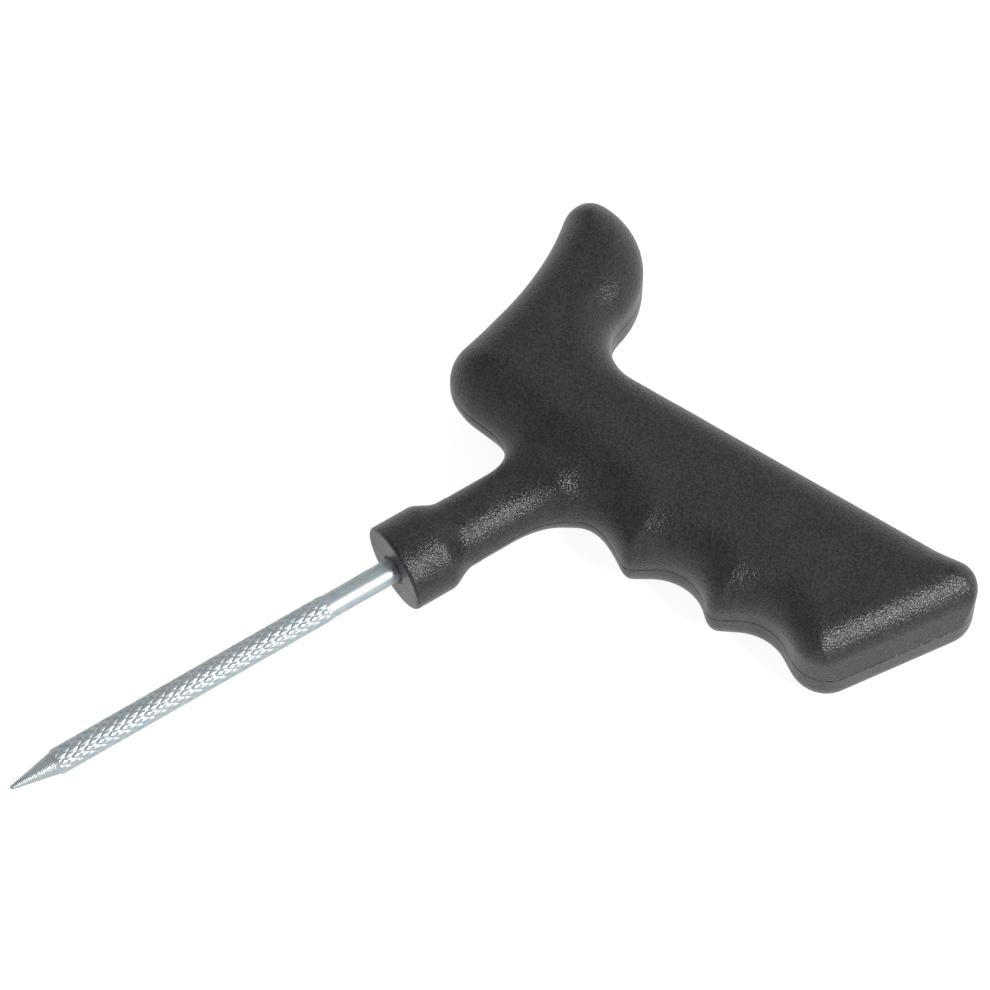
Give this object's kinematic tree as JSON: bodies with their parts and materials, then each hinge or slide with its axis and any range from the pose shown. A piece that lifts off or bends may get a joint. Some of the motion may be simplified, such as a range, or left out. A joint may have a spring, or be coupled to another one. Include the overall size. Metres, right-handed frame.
{
  "type": "tyre probe hand tool",
  "caption": "Hand tool with a pointed, knurled steel shank set in a two-shell plastic pistol grip with finger grooves and a tail over the thumb.",
  "frame": {"origin": "middle of the underside of the tool's bounding box, with the tool lying on its side", "axes": "+X along the shank from its tip towards the handle's palm side, +Y up the handle towards the tail, +Z square to the handle's flat sides"},
  "size_m": [0.1954, 0.129, 0.0268],
  "materials": {
    "upper_grip": "black moulded plastic with a fine leather grain",
    "lower_grip": "black moulded plastic with a fine leather grain",
    "plated_steel": "bright zinc plating, knurled and partly smooth",
    "pin_steel": "plain ground steel",
    "screw_steel": "dark plated steel"
  },
  "bodies": {
    "root": {"upper_shell": "upper_grip", "lower_shell": "lower_grip", "shank": "plated_steel", "cross_pin": "pin_steel", "screw_1": "screw_steel", "screw_2": "screw_steel", "screw_3": "screw_steel", "screw_4": "screw_steel"}
  },
  "joints": []
}
